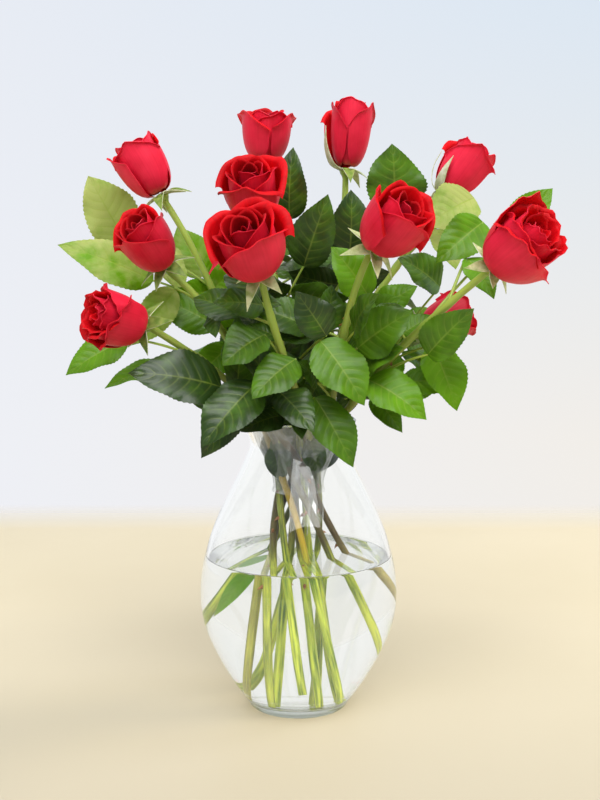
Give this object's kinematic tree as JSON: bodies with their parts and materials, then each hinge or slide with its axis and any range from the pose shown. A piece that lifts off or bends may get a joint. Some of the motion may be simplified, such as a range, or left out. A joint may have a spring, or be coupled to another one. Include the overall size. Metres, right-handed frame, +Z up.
{
  "type": "vase of roses",
  "caption": "Long-stemmed red roses with toothed leaves standing in water in a clear urn-shaped glass vase with a narrow neck and flared rim.",
  "frame": {"origin": "centre of the vase's flat underside, on the surface it stands on", "axes": "+Z up along the vase's axis; -Y towards the front of the bunch, +X to its right seen from the front"},
  "size_m": [0.3717, 0.2737, 0.4792],
  "materials": {
    "vase_glass": "polished",
    "water": "polished",
    "film": "gloss",
    "petals": "satin",
    "greens": "satin"
  },
  "bodies": {
    "root": {"vase": "vase_glass", "water": "water", "stem_wrap": "film", "bloom_01": "petals", "leafy_stem_01": "greens", "bloom_02": "petals", "leafy_stem_02": "greens", "bloom_03": "petals", "leafy_stem_03": "greens", "bloom_04": "petals", "leafy_stem_04": "greens", "bloom_05": "petals", "leafy_stem_05": "greens", "bloom_06": "petals", "leafy_stem_06": "greens", "bloom_07": "petals", "leafy_stem_07": "greens", "bloom_08": "petals", "leafy_stem_08": "greens", "bloom_09": "petals", "leafy_stem_09": "greens", "bloom_10": "petals", "leafy_stem_10": "greens", "bloom_11": "petals", "leafy_stem_11": "greens", "bloom_12": "petals", "leafy_stem_12": "greens"}
  },
  "joints": []
}
